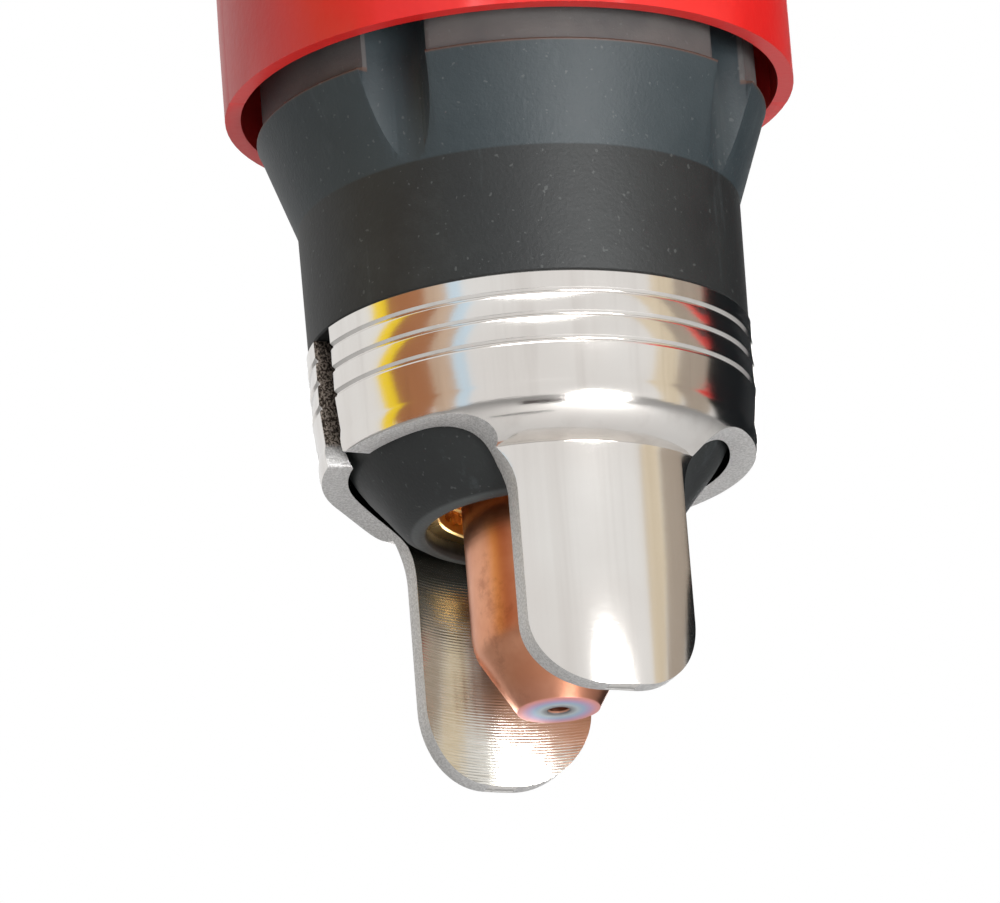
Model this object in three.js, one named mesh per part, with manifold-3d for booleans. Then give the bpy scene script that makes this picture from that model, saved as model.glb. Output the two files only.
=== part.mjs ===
// Hand torch of an air plasma cutter: consumables, torch head, two-shell handle, trigger and lead inlet.
// Millimetres, +Z up. The torch axis is vertical and the tip points down; the grip runs towards +X.
// Heights are measured from the tip's face. The finished group is lowered so that its origin lies where
// the torch axis meets the line of the grip.
import * as THREE from 'three';
import { mergeVertices } from 'three/addons/utils/BufferGeometryUtils.js';
import Module from 'manifold-3d';

const wasm = await Module();
wasm.setup();

// Clearances
const gap = 0.3; // between neighbouring pieces
const slotRearClearance = 0.9; // behind the trigger, which swings back as it is pulled

// Facets round a circle
const fineFacets = 28;
const facets = 16;
const bossFacets = 10;
const wireFacets = 8;
const shellFacets = 8; // half way round the handle
const coilSteps = 8; // in each turn of a spring

// Nozzle
const faceRadius = 2.12;
const noseRadius = 3.9;
const noseHeight = 3.15;
const barrelRadius = 4.05;
const barrelStart = 3.9;
const orificeRadius = 0.5;
const orificeLength = 2.2;
const chamberRadius = 3.1;
const chamberFloor = 3.9;
const nozzleFlangeRadius = 5.8;
const nozzleFlangeThickness = 2.2;

// Retaining cup and its brass insert
const lipHeight = 9.55;
const lipBore = 5.95;
const lipRadius = 6.35;
const noseProfile = [[7.2, 10.1], [8, 11.15], [8.85, 12], [9.3, 12.7]]; // radius and height up the nose
const guideSeatRadius = 9.75;
const guideSeatStart = 13.5;
const cupRadius = 11.15;
const cupFlareStart = 26.05;
const cupFlareRadius = 12.95;
const cupFlareTop = 31.05;
const cupBandRadius = 12.55;
const cupTop = 36;
const cupUpperBore = 10.6;
const cupUpperBoreStart = 27.3;
const fluteCount = 4;
const fluteCutterRadius = 1.95;
const fluteCutterOrbit = 13.15;
const fluteStart = 26.4;
const fluteTurn = -39.5; // degrees from the front
const insertStart = 10.5;
const insertBore = 5.2;
const insertNoseRadius = 6.5;
const insertNoseTop = 13.5;
const insertRadius = 8.5;
const insertTop = 27;
const nozzleSeat = 12.5;

// Stand-off guide
const guideTop = 19.4;
const guideWall = 1.13;
const guideSkirtTop = 14;
const domeCentreRadius = 8.8;
const domeCentreHeight = 13.4;
const domeRadius = 2.25;
const domeFoot = 11.2;
const guideInnerProfile = [[9.75, 12.9], [8.7, 11.35]]; // radius and height, from the bore down to the prongs
const prongBoreTop = 10.2;
const prongRadius = 9;
const prongBore = 7.9;
const prongEnd = -1.48;
const prongHalfWidth = 4.45;
const prongCornerRadius = 3.6;
const windowTop = 12.7;
const windowFillet = 3.9;
const guideSlotWidth = 2.2;
const prongTurn = 9.4; // degrees from the front

// Torch head
const anodeThreadRadius = 6.8;
const anodeRadius = 8;
const anodeLowerBore = 5.5;
const anodeUpperBore = 7.2;
const anodeLedge = 30;
const anodeTop = 46;
const swirlRadius = anodeLowerBore - gap;
const swirlBore = 3.9;
const swirlTop = 24;
const sleeveBore = 4.2;
const sleeveFloor = 1.2;
const insulatorTop = 48;
const cathodeRadius = 5.3;
const cathodeFloor = 43;
const cathodeTop = 52;
const cathodeCollarRadius = 6.6;
const cathodeCollarThickness = 2;
const gasPassageRadius = 1.6;
const bodyRadius = 10.2;
const bodyStart = 28;
const bodyFlangeRadius = 11.8;
const bodyFlangeThickness = 2;
const bodyGrooveRadius = 9.2;
const bodyGrooveStart = 41;
const bodyGrooveEnd = 44;
const bodyRingHeight = 33;
const bodyTopTaper = 0.6;
const cupRingSection = 0.5;
const tabWidth = 3.6;
const tabHeadWidth = 6.4;
const tabThickness = 0.7;
const tabTop = 54;
const pilotScrewHeight = 50.5;
const pilotScrewRadius = 1.2;
const pilotHeadRadius = 2.4;
const pilotHeadHeight = 1.6;
const pilotScrewLength = 2.6;
const terminalThickness = 0.8;
const terminalHalfWidth = 1.6;
const terminalCrimp = 0.4; // wall round the wire
const terminalRadius = 2.9;
const terminalReach = 8;
const pilotWireRadius = 1;
const pilotPlugRadius = 2.2;
const pilotPlugLength = 12;
const pilotPlugRise = 2.6;
const pilotPlugSide = 7.4;
const pilotPlugAlong = 61;

// Electrode, plunger and blow-back stroke
const stroke = 1.5;
const electrodeTipRadius = 1.9;
const electrodeNoseRadius = 2.35;
const electrodeRadius = 3.3;
const electrodeTipRise = 0.9;
const electrodeShoulderRise = 1.2;
const electrodeTop = 22;
const shankRadius = 2.2;
const shankTop = 27;
const emitterRadius = 0.75;
const emitterLength = 3;
const plungerRadius = 3.9;
const plungerNeckRadius = 3.3;
const plungerShoulder = 30.6;
const plungerTop = 36;
const plungerRingHeight = 33.2;
const plungerRingSection = 0.4;
const springWire = 0.4;
const springRadius = 2.6;
const springTurns = 4;

// Gas tube and union
const tubeRadius = 2.8;
const tubeBore = 1.7;
const tubeSocketDepth = 4;
const tubeEnd = 34; // along the grip
const tubeRise = 6; // above the grip's centre line
const unionRadius = 5;
const unionStart = 26;
const unionLength = 16;

// Pilot terminal and screw on the anode's tab, counted outwards
const plateLow = anodeUpperBore + tabThickness + gap;
const plateHigh = plateLow + terminalThickness;
const pilotHeadTop = plateHigh + gap + pilotHeadHeight;

// Handle
const rimHeight = 32.35;
const neckTop = 38;
const neckRadius = 14.45;
const mouthRadius = 13.64;
const mouthHeadroom = 1.25; // above the cup
const mouthDepth = cupTop + mouthHeadroom - rimHeight;
const kneeRadius = 24;
const kneeTurn = 72; // degrees
const gripLength = 152;
const wall = 2;
const gripKeys = [ // distance behind the knee, half width, half height, squareness
  [-36, 14.45, 14.45, 2],
  [-24, 14.45, 14.45, 2],
  [0, 14.2, 15.1, 2.15],
  [45, 13.9, 15.6, 2.35],
  [78, 13.1, 14.3, 2.3],
  [112, 14.5, 16, 2.35],
  [142, 12.7, 13.4, 2.15],
  [152, 12.4, 12.6, 2.05],
];
const screwPlaces = [[-8.3, -10.6], [60, 9.8], [80, -8.6], [113, 9.8], [137, -8.6]]; // along, above
const bossRadius = 4.2;
const counterboreRadius = 3.2;
const counterboreDepth = 7; // its floor's distance from the parting face
const screwHeadRadius = 2.7;
const screwHeadHeight = 2;
const screwRadius = 1.2;
const screwReach = 8.5; // past the parting face
const bodyRibBore = bodyGrooveRadius + gap;

// Trigger and switch, from a centre on the grip's centre line
const triggerPlace = 45;
const triggerLength = 34;
const triggerWidth = 9.2;
const triggerBottom = -19.4;
const flangeTop = -9.6;
const flangeThickness = 1.4;
const flangeWidth = 12.4;
const flangeOverhang = 1.6;
const pivotSetback = 7; // ahead of the trigger's front
const pivotAlong = -(triggerLength / 2 + pivotSetback);
const pivotHeight = -10;
const pivotPinRadius = 1.25;
const pivotPinLength = 14;
const pivotBarrelRadius = 2.6;
const pivotBarrelWidth = 8;
const pivotBossRadius = 3.2;
const returnSpringAlong = -8;
const returnSpringRadius = 2.3;
const returnSpringWire = 0.35;
const returnSpringTurns = 4;
const springLedgeHeight = -3;
const springLedgeThickness = 1.5;
const switchStart = 2;
const switchLength = 19;
const switchBottom = -6.3;
const switchTop = 1;
const switchWidth = 6.2;
const switchPinRadius = 1.1;
const switchPinPlaces = [[10, -1.2], [18, -4.2]];
const buttonAlong = 6;
const buttonRadius = 0.9;
const buttonEnd = -8.9;
const buttonTop = -4;
const buttonBoreTop = -2;
const switchTerminalLength = 4.5;
const switchTerminalHeights = [-0.8, -5];
const switchTerminalThickness = 0.5;
const switchWireRadius = 0.7;
const switchPlugStart = 50;
const switchPlugLength = 10;

// Lead inlet
const collarBore = 7;
const collarInnerRadius = 9.8;
const collarInnerLength = 9;
const collarFlangeRadius = 12.2;
const collarFlangeThickness = 3;
const collarNeckRadius = 9.6;
const collarNeckLength = 9;
const collarGrooveRadius = 8.6;
const collarGrooveStart = 6; // inside the handle's end
const collarGrooveWidth = 3;
const grommetBore = 4.6;

// Worked out from the sizes above
const nozzleFlangeStart = nozzleSeat + gap;
const nozzleTop = nozzleFlangeStart + nozzleFlangeThickness;
const anodeStart = nozzleTop + gap;
const electrodeNoseTop = nozzleTop + gap;
const chamberSlope = (chamberFloor - orificeLength) / (chamberRadius - orificeRadius);
const electrodeTip = orificeLength + (electrodeTipRadius - orificeRadius) * chamberSlope + gap;
const rise = THREE.MathUtils.degToRad(90 - kneeTurn);
const kneeAngle = THREE.MathUtils.degToRad(kneeTurn);
const kneeLength = kneeRadius * kneeAngle;
const gripArcRadius = gripLength / rise;
const kneeEnd = [kneeRadius * (1 - Math.cos(kneeAngle)), neckTop + kneeRadius * Math.sin(kneeAngle)];
const originHeight = kneeEnd[1] - kneeEnd[0] * Math.tan(rise);
const handleStart = rimHeight - neckTop - kneeLength;

const red = { color: 0xd02018, roughness: 0.4, metalness: 0 };
const black = { color: 0x1c2022, roughness: 0.6, metalness: 0 };
const copper = { color: 0xc87850, roughness: 0.35, metalness: 1 };
const brass = { color: 0xb89048, roughness: 0.35, metalness: 1 };
const nickel = { color: 0xc0c0b8, roughness: 0.2, metalness: 1 };
const steel = { color: 0x9a9a98, roughness: 0.35, metalness: 1 };
const rubber = { color: 0x151515, roughness: 0.8, metalness: 0 };
const brown = { color: 0x6a4028, roughness: 0.6, metalness: 0 };
const whitePlastic = { color: 0xd8d4c8, roughness: 0.6, metalness: 0 };

const torch = new THREE.Group();
torch.position.z = -originHeight;

function addPiece(name, geometry, finish, parent = torch) {
  const mesh = new THREE.Mesh(geometry, new THREE.MeshStandardMaterial(finish));
  mesh.name = name;
  parent.add(mesh);
  return mesh;
}

// Joining and cutting

function toSolid(geometry) {
  const bare = new THREE.BufferGeometry();
  bare.setAttribute('position', geometry.getAttribute('position').clone());
  if (geometry.index) bare.setIndex(geometry.index.clone());
  const merged = mergeVertices(bare, 1e-4);
  return new wasm.Manifold(new wasm.Mesh({
    numProp: 3,
    vertProperties: new Float32Array(merged.getAttribute('position').array),
    triVerts: new Uint32Array(merged.index.array),
  }));
}

function toGeometry(solid) {
  const { vertProperties, triVerts } = solid.getMesh();
  const geometry = new THREE.BufferGeometry();
  geometry.setAttribute('position', new THREE.Float32BufferAttribute(vertProperties, 3));
  geometry.setIndex(new THREE.Uint32BufferAttribute(triVerts, 1));
  return geometry;
}

const join = (...pieces) => toGeometry(pieces.map(toSolid).reduce((a, b) => a.add(b)));
const cut = (piece, ...tools) => toGeometry(tools.map(toSolid).reduce((a, b) => a.subtract(b), toSolid(piece)));
const meet = (a, b) => toGeometry(toSolid(a).intersect(toSolid(b)));

// Plain shapes

// A closed outline of [radius, height] points turned about Z.
function turned(outline, segments = facets) {
  const area = outline.reduce((sum, [r, z], i) => {
    const [nextR, nextZ] = outline[(i + 1) % outline.length];
    return sum + r * nextZ - nextR * z;
  }, 0);
  const ordered = area > 0 ? outline : [...outline].reverse();
  const points = [...ordered, ordered[0]].map(([r, z]) => new THREE.Vector2(r, z));
  const geometry = new THREE.LatheGeometry(points, segments);
  geometry.rotateX(Math.PI / 2);
  return geometry;
}

const rod = (radius, low, high, segments = facets) => turned([[0, low], [radius, low], [radius, high], [0, high]], segments);
const ring = (bore, radius, low, high, segments = facets) => (
  turned([[bore, low], [radius, low], [radius, high], [bore, high]], segments));

function oRing(centreRadius, sectionRadius, height) {
  const outline = Array.from({ length: 6 }, (_, i) => {
    const turn = (i / 6) * 2 * Math.PI;
    return [centreRadius + sectionRadius * Math.cos(turn), height + sectionRadius * Math.sin(turn)];
  });
  return turned(outline);
}

function box(x, y, z) { // each a pair of limits
  const geometry = new THREE.BoxGeometry(x[1] - x[0], y[1] - y[0], z[1] - z[0]);
  return geometry.translate((x[0] + x[1]) / 2, (y[0] + y[1]) / 2, (z[0] + z[1]) / 2);
}

const rodAcross = (radius, x, z, from, to, segments = facets) => (
  rod(radius, from, to, segments).rotateX(-Math.PI / 2).translate(x, 0, z));

function coil(radius, wire, low, high, turns) {
  const curve = new THREE.Curve();
  curve.getPoint = (t) => new THREE.Vector3(
    radius * Math.cos(2 * Math.PI * turns * t),
    radius * Math.sin(2 * Math.PI * turns * t),
    low + wire + (high - low - 2 * wire) * t,
  );
  return tube(curve, wire, turns * coilSteps, 5);
}

function circleShape(radius, sides) {
  return new THREE.Shape(Array.from({ length: sides }, (_, i) => {
    const turn = (i / sides) * 2 * Math.PI;
    return new THREE.Vector2(radius * Math.cos(turn), radius * Math.sin(turn));
  }));
}

function tube(curve, radius, steps, sides, bore = 0) {
  const shape = circleShape(radius, sides);
  if (bore) shape.holes.push(circleShape(bore, sides));
  return new THREE.ExtrudeGeometry(shape, { steps, extrudePath: curve });
}

const smoothPath = (points) => new THREE.CatmullRomCurve3(points.map((p) => new THREE.Vector3(...p)), false, 'centripetal');

// The handle's centre line and section

function spineAt(along) { // distance behind the knee's end, negative in the knee and the neck
  if (along >= 0) {
    const heading = rise - along / gripArcRadius;
    const x = kneeEnd[0] + gripArcRadius * (Math.sin(rise) - Math.sin(heading));
    const z = kneeEnd[1] + gripArcRadius * (Math.cos(heading) - Math.cos(rise));
    return { x, z, heading };
  }
  const bend = Math.max(kneeLength + along, 0) / kneeRadius;
  const drop = Math.min(kneeLength + along, 0);
  return {
    x: kneeRadius * (1 - Math.cos(bend)),
    z: neckTop + kneeRadius * Math.sin(bend) + drop,
    heading: Math.PI / 2 - bend,
  };
}

function gripPoint(along, above, side) {
  const { x, z, heading } = spineAt(along);
  return [x - above * Math.sin(heading), side, z + above * Math.cos(heading)];
}

function sectionAt(along) {
  let next = gripKeys.findIndex(([at]) => at >= along);
  if (next < 0) next = gripKeys.length - 1;
  const [low, high] = [gripKeys[Math.max(next - 1, 0)], gripKeys[next]];
  const share = high === low ? 0 : THREE.MathUtils.smoothstep(along, low[0], high[0]);
  return low.map((value, i) => value + (high[i] - value) * share).slice(1);
}

// One half of the handle on the +Y side, or a solid half where walls is null.
function halfLoft(stations, walls) {
  const sides = shellFacets;
  const positions = [];
  const ringSize = 2 * (sides + 1);
  for (const along of stations) {
    const { x, z, heading } = spineAt(along);
    const [halfWidth, halfHeight, power] = sectionAt(along);
    const inset = walls ? walls(along) : 0;
    for (const outside of [true, false]) {
      for (let i = 0; i <= sides; i += 1) {
        const turn = (i / sides - 0.5) * Math.PI;
        const less = outside ? 0 : inset;
        const shape = (value) => Math.sign(value) * Math.abs(value) ** (2 / power);
        const atSeam = i === 0 || i === sides;
        const side = atSeam || (!outside && !walls) ? 0 : (halfWidth - less) * shape(Math.cos(turn));
        const up = (halfHeight - less) * shape(Math.sin(turn));
        positions.push(x - up * Math.sin(heading), side, z + up * Math.cos(heading));
      }
    }
  }
  const index = [];
  const quad = (a, b, c, d) => index.push(a, c, b, a, d, c);
  const outer = (s, i) => s * ringSize + i;
  const inner = (s, i) => s * ringSize + sides + 1 + i;
  for (let s = 0; s + 1 < stations.length; s += 1) {
    for (let i = 0; i < sides; i += 1) {
      quad(outer(s, i), outer(s + 1, i), outer(s + 1, i + 1), outer(s, i + 1));
      quad(inner(s, i), inner(s, i + 1), inner(s + 1, i + 1), inner(s + 1, i));
    }
    quad(outer(s, 0), inner(s, 0), inner(s + 1, 0), outer(s + 1, 0));
    quad(outer(s, sides), outer(s + 1, sides), inner(s + 1, sides), inner(s, sides));
  }
  const last = stations.length - 1;
  for (let i = 0; i < sides; i += 1) {
    quad(outer(0, i), outer(0, i + 1), inner(0, i + 1), inner(0, i));
    quad(outer(last, i), inner(last, i), inner(last, i + 1), outer(last, i + 1));
  }
  const geometry = new THREE.BufferGeometry();
  geometry.setAttribute('position', new THREE.Float32BufferAttribute(positions, 3));
  geometry.setIndex(index);
  return geometry;
}

function mirrored(geometry) {
  const flipped = geometry.clone().scale(1, -1, 1);
  const order = flipped.index.array;
  for (let i = 0; i < order.length; i += 3) [order[i], order[i + 1]] = [order[i + 1], order[i]];
  return flipped;
}

// Moves a shape built along X, with Z up, to a place on the grip.
function onGrip(geometry, along, above = 0, side = 0) {
  const { heading } = spineAt(along);
  return geometry.rotateY(-heading).translate(...gripPoint(along, above, side));
}

// Consumables

function makeNozzle() {
  const outline = [
    [orificeRadius, 0], [faceRadius, 0], [noseRadius, noseHeight], [barrelRadius, barrelStart],
    [barrelRadius, nozzleFlangeStart], [nozzleFlangeRadius, nozzleFlangeStart],
    [nozzleFlangeRadius, nozzleTop], [chamberRadius, nozzleTop], [chamberRadius, chamberFloor],
    [orificeRadius, orificeLength],
  ];
  addPiece('nozzle', turned(outline, fineFacets), copper);
}

function makeSwirlRing() {
  addPiece('swirl_ring', ring(swirlBore, swirlRadius, anodeStart, swirlTop), brown);
}

function makeElectrode() {
  const emitterBore = emitterRadius + gap;
  const emitterTop = electrodeTip + emitterLength;
  const outline = [
    [emitterBore, electrodeTip], [electrodeTipRadius, electrodeTip],
    [electrodeNoseRadius, electrodeTip + electrodeTipRise], [electrodeNoseRadius, electrodeNoseTop],
    [electrodeRadius, electrodeNoseTop + electrodeShoulderRise], [electrodeRadius, electrodeTop],
    [shankRadius, electrodeTop], [shankRadius, shankTop], [0, shankTop], [0, emitterTop + gap],
    [emitterBore, emitterTop + gap],
  ];
  addPiece('electrode', turned(outline), copper);
  addPiece('emitter', rod(emitterRadius, electrodeTip, emitterTop, 12), steel);
}

// Retaining cup

function makeCup() {
  const insertClear = insertRadius + gap;
  const outline = [
    [lipBore, lipHeight], [lipRadius, lipHeight], ...noseProfile, [guideSeatRadius, guideSeatStart],
    [guideSeatRadius, guideTop], [cupRadius, guideTop], [cupRadius, cupFlareStart],
    [cupFlareRadius, cupFlareTop], [cupBandRadius, cupFlareTop], [cupBandRadius, cupTop],
    [cupUpperBore, cupTop], [cupUpperBore, cupUpperBoreStart], [insertClear, cupUpperBoreStart],
    [insertClear, insertNoseTop - gap], [insertNoseRadius + gap, insertNoseTop - gap],
    [insertNoseRadius + gap, insertStart - gap], [lipBore, insertStart - gap],
  ];
  const flutes = Array.from({ length: fluteCount }, (_, i) => {
    const low = fluteStart + fluteCutterRadius;
    const cutter = rod(fluteCutterRadius, low, cupTop + 1, 16);
    const end = new THREE.SphereGeometry(fluteCutterRadius, 16, 8).rotateX(Math.PI / 2).translate(0, 0, low);
    const turn = THREE.MathUtils.degToRad(fluteTurn + (360 * i) / fluteCount - 90);
    return join(cutter, end).translate(fluteCutterOrbit, 0, 0).rotateZ(turn);
  });
  addPiece('retaining_cup', cut(turned(outline, fineFacets), ...flutes), black);
}

function makeCupInsert() {
  const nozzleClear = nozzleFlangeRadius + gap;
  const threadBore = anodeThreadRadius + gap;
  const outline = [
    [insertBore, insertStart], [insertNoseRadius, insertStart], [insertNoseRadius, insertNoseTop],
    [insertRadius, insertNoseTop], [insertRadius, insertTop], [threadBore, insertTop], [threadBore, nozzleTop],
    [nozzleClear, nozzleTop], [nozzleClear, nozzleSeat], [insertBore, nozzleSeat],
  ];
  addPiece('cup_insert', turned(outline), brass);
}

// Stand-off guide: a split collar whose lower part is cut away to leave two prongs

function makeGuide() {
  const bore = guideSeatRadius + gap;
  const radius = bore + guideWall;
  const domeStart = Math.atan2(domeFoot - domeCentreHeight, prongRadius - domeCentreRadius);
  const dome = Array.from({ length: 5 }, (_, i) => {
    const turn = domeStart * (1 - i / 4) + 0.15 * (i / 4);
    return [domeCentreRadius + domeRadius * Math.cos(turn), domeCentreHeight + domeRadius * Math.sin(turn)];
  });
  const outline = [
    [prongBore, prongEnd], [prongRadius, prongEnd], ...dome, [radius, guideTop], [bore, guideTop],
    [bore, guideSkirtTop], ...guideInnerProfile, [prongBore, prongBoreTop],
  ];
  const collar = turned(outline, fineFacets);

  const reach = 2 * radius;
  const windowSide = (sign) => {
    const shape = new THREE.Shape();
    const low = prongEnd - 1;
    shape.moveTo(sign * prongHalfWidth, low + prongCornerRadius);
    shape.lineTo(sign * prongHalfWidth, windowTop - windowFillet);
    shape.absarc(
      sign * (prongHalfWidth + windowFillet), windowTop - windowFillet, windowFillet,
      sign > 0 ? Math.PI : 0, Math.PI / 2, sign > 0,
    );
    shape.lineTo(sign * reach, windowTop);
    shape.lineTo(sign * reach, low);
    shape.lineTo(sign * (prongHalfWidth - prongCornerRadius), low);
    shape.lineTo(sign * (prongHalfWidth - prongCornerRadius), prongEnd);
    shape.absarc(
      sign * (prongHalfWidth - prongCornerRadius), prongEnd + prongCornerRadius, prongCornerRadius,
      -Math.PI / 2, sign > 0 ? 0 : -Math.PI, sign < 0,
    );
    const geometry = new THREE.ExtrudeGeometry(shape, { depth: 2 * reach, bevelEnabled: false, curveSegments: 8 });
    return geometry.translate(0, 0, -reach).rotateX(Math.PI / 2);
  };
  const slot = box([-reach, 0], [-guideSlotWidth / 2, guideSlotWidth / 2], [windowTop - 3, guideTop + 1]);
  const shaped = cut(collar, windowSide(1), windowSide(-1), slot);
  addPiece('standoff_guide', shaped.rotateZ(THREE.MathUtils.degToRad(prongTurn)), nickel);
}

// Torch head

function makeHead() {
  const tabDepth = [anodeUpperBore, anodeUpperBore + tabThickness];
  const anode = join(
    turned([
      [anodeLowerBore, anodeStart], [anodeThreadRadius, anodeStart], [anodeThreadRadius, insertTop + gap],
      [anodeRadius, insertTop + gap], [anodeRadius, anodeTop], [anodeUpperBore, anodeTop],
      [anodeUpperBore, anodeLedge], [anodeLowerBore, anodeLedge],
    ]),
    box([-tabWidth / 2, tabWidth / 2], tabDepth, [anodeTop - 2, tabTop]),
    box([-tabHeadWidth / 2, tabHeadWidth / 2], tabDepth, [anodeTop + 1, tabTop]),
  );
  const tabHole = rodAcross(
    pilotScrewRadius + gap, 0, pilotScrewHeight, anodeUpperBore - 1, anodeRadius + 1, 12,
  );
  addPiece('anode_body', cut(anode, tabHole), brass);

  const sleeveTop = anodeLedge + gap;
  const cathodeSeat = sleeveTop + sleeveFloor;
  addPiece('inner_insulator', turned([
    [sleeveBore, swirlTop + gap], [anodeLowerBore - gap, swirlTop + gap], [anodeLowerBore - gap, sleeveTop],
    [anodeUpperBore - gap, sleeveTop], [anodeUpperBore - gap, insulatorTop], [cathodeRadius + gap, insulatorTop],
    [cathodeRadius + gap, cathodeSeat], [sleeveBore, cathodeSeat],
  ]), whitePlastic);

  const collarLow = insulatorTop + gap;
  const collarHigh = collarLow + cathodeCollarThickness;
  const socketFloor = cathodeTop - tubeSocketDepth;
  addPiece('cathode_body', turned([
    [sleeveBore, cathodeSeat + gap], [cathodeRadius, cathodeSeat + gap], [cathodeRadius, collarLow],
    [cathodeCollarRadius, collarLow], [cathodeCollarRadius, collarHigh], [cathodeRadius, collarHigh],
    [cathodeRadius, cathodeTop], [tubeRadius + gap, cathodeTop], [tubeRadius + gap, socketFloor],
    [gasPassageRadius, socketFloor], [gasPassageRadius, cathodeFloor], [sleeveBore, cathodeFloor],
  ]), brass);

  const flangeLow = cupTop + gap;
  const flangeHigh = flangeLow + bodyFlangeThickness;
  const grooveFloor = cupUpperBore - 2 * gap - 2 * cupRingSection;
  const ringRoom = cupRingSection + gap;
  addPiece('torch_body', turned([
    [anodeRadius + gap, bodyStart], [bodyRadius, bodyStart], [bodyRadius, bodyRingHeight - ringRoom],
    [grooveFloor, bodyRingHeight - ringRoom], [grooveFloor, bodyRingHeight + ringRoom],
    [bodyRadius, bodyRingHeight + ringRoom], [bodyRadius, flangeLow], [bodyFlangeRadius, flangeLow],
    [bodyFlangeRadius, flangeHigh], [bodyRadius, flangeHigh], [bodyRadius, bodyGrooveStart],
    [bodyGrooveRadius, bodyGrooveStart], [bodyGrooveRadius, bodyGrooveEnd], [bodyRadius, bodyGrooveEnd],
    [bodyRadius - bodyTopTaper, anodeTop + gap], [anodeRadius + gap, anodeTop + gap],
  ]), black);
  addPiece('cup_o_ring', oRing(cupUpperBore - gap - cupRingSection, cupRingSection, bodyRingHeight), rubber);
}

function makePlunger() {
  const neckLow = electrodeTop + gap;
  const ringCentre = sleeveBore - gap - plungerRingSection;
  const ringRoom = plungerRingSection + gap;
  const grooveRadius = ringCentre - plungerRingSection - gap;
  addPiece('plunger', turned([
    [shankRadius + gap, neckLow], [plungerNeckRadius, neckLow], [plungerNeckRadius, plungerShoulder],
    [plungerRadius, plungerShoulder], [plungerRadius, plungerRingHeight - ringRoom],
    [grooveRadius, plungerRingHeight - ringRoom], [grooveRadius, plungerRingHeight + ringRoom],
    [plungerRadius, plungerRingHeight + ringRoom], [plungerRadius, plungerTop], [0, plungerTop],
    [0, shankTop + gap], [shankRadius + gap, shankTop + gap],
  ]), brass);
  addPiece('plunger_o_ring', oRing(ringCentre, plungerRingSection, plungerRingHeight), rubber);
  const spring = coil(springRadius, springWire, plungerTop + gap, cathodeFloor - gap, springTurns);
  addPiece('plunger_spring', spring, steel);
}

function makeGasTube() {
  const foot = cathodeTop - tubeSocketDepth + gap;
  const path = smoothPath([
    [0, 0, foot], [0, 0, foot + 3], [0, 0, cathodeTop + 0.8], [1.6, 0, cathodeTop + 5.4],
    gripPoint(-9, 5.6, 0), gripPoint(2, tubeRise, 0), gripPoint(12, tubeRise, 0), gripPoint(23, tubeRise, 0),
    gripPoint(tubeEnd, tubeRise, 0),
  ]);
  addPiece('gas_tube', tube(path, tubeRadius, 15, 10, tubeBore), brass);
  const bore = tubeRadius + gap;
  const union = cut(
    join(rod(unionRadius, 0, unionLength, 6), rod(unionRadius - 1, 0, unionLength + 5, 16)),
    rod(bore, -1, unionLength + 6, 16),
  );
  addPiece('lead_union', onGrip(union.rotateY(Math.PI / 2), unionStart, tubeRise), brass);
}

function makePilotLead() {
  const barrelMiddle = (plateLow + plateHigh) / 2;
  const barrel = rod(pilotWireRadius + terminalCrimp, terminalReach - 4, terminalReach, 12)
    .rotateY(Math.PI / 2).translate(0, barrelMiddle, pilotScrewHeight);
  const tongue = join(
    rodAcross(terminalRadius, 0, pilotScrewHeight, plateLow, plateHigh, 16),
    box(
      [0, terminalReach - 3], [plateLow, plateHigh],
      [pilotScrewHeight - terminalHalfWidth, pilotScrewHeight + terminalHalfWidth],
    ),
    barrel,
  );
  const hole = rodAcross(pilotScrewRadius + gap, 0, pilotScrewHeight, plateLow - 1, plateHigh + 1, 12);
  addPiece('pilot_terminal', cut(tongue, hole), steel);

  const headLow = plateHigh + gap;
  const screw = join(
    rodAcross(pilotHeadRadius, 0, pilotScrewHeight, headLow, pilotHeadTop, 16),
    rodAcross(pilotScrewRadius, 0, pilotScrewHeight, headLow - pilotScrewLength + 0.4, headLow + 0.5, 12),
  );
  addPiece('pilot_screw', screw, steel);

  const plugStart = pilotPlugAlong;
  const path = smoothPath([
    [terminalReach + 2 * gap, barrelMiddle, pilotScrewHeight],
    [terminalReach + 3, barrelMiddle, pilotScrewHeight + 1.2],
    gripPoint(-4, -5, 8.4), gripPoint(6, -3.5, 8.2), gripPoint(20, -1, 8), gripPoint(34, 1.6, 7.6),
    gripPoint(48, pilotPlugRise, pilotPlugSide), gripPoint(plugStart - gap, pilotPlugRise, pilotPlugSide),
  ]);
  addPiece('pilot_wire', tube(path, pilotWireRadius, 20, wireFacets), red);
  const plug = rod(pilotPlugRadius, 0, pilotPlugLength, 12).rotateY(Math.PI / 2);
  addPiece('pilot_plug', onGrip(plug, plugStart, pilotPlugRise, pilotPlugSide), brass);
}

// Handle shells and their screws

const stations = [
  handleStart, handleStart + mouthDepth, handleStart + mouthDepth + 0.5,
  ...Array.from({ length: 7 }, (_, i) => -kneeLength + (kneeLength * i) / 6),
  ...Array.from({ length: 9 }, (_, i) => (gripLength * (i + 1)) / 9),
];
const mouthWall = neckRadius - mouthRadius;
const wallAt = (along) => (along <= handleStart + mouthDepth ? mouthWall : wall);
const solidHalf = halfLoft(stations, null);
const insideHandle = (geometry) => meet(geometry, solidHalf);

const triggerSpine = spineAt(triggerPlace);
const fromTrigger = (geometry) => (
  geometry.rotateY(-triggerSpine.heading).translate(triggerSpine.x, 0, triggerSpine.z));
const handleEnd = spineAt(gripLength);
const alongLead = (geometry) => geometry.rotateY(Math.PI / 2).translate(handleEnd.x, 0, handleEnd.z);

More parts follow.
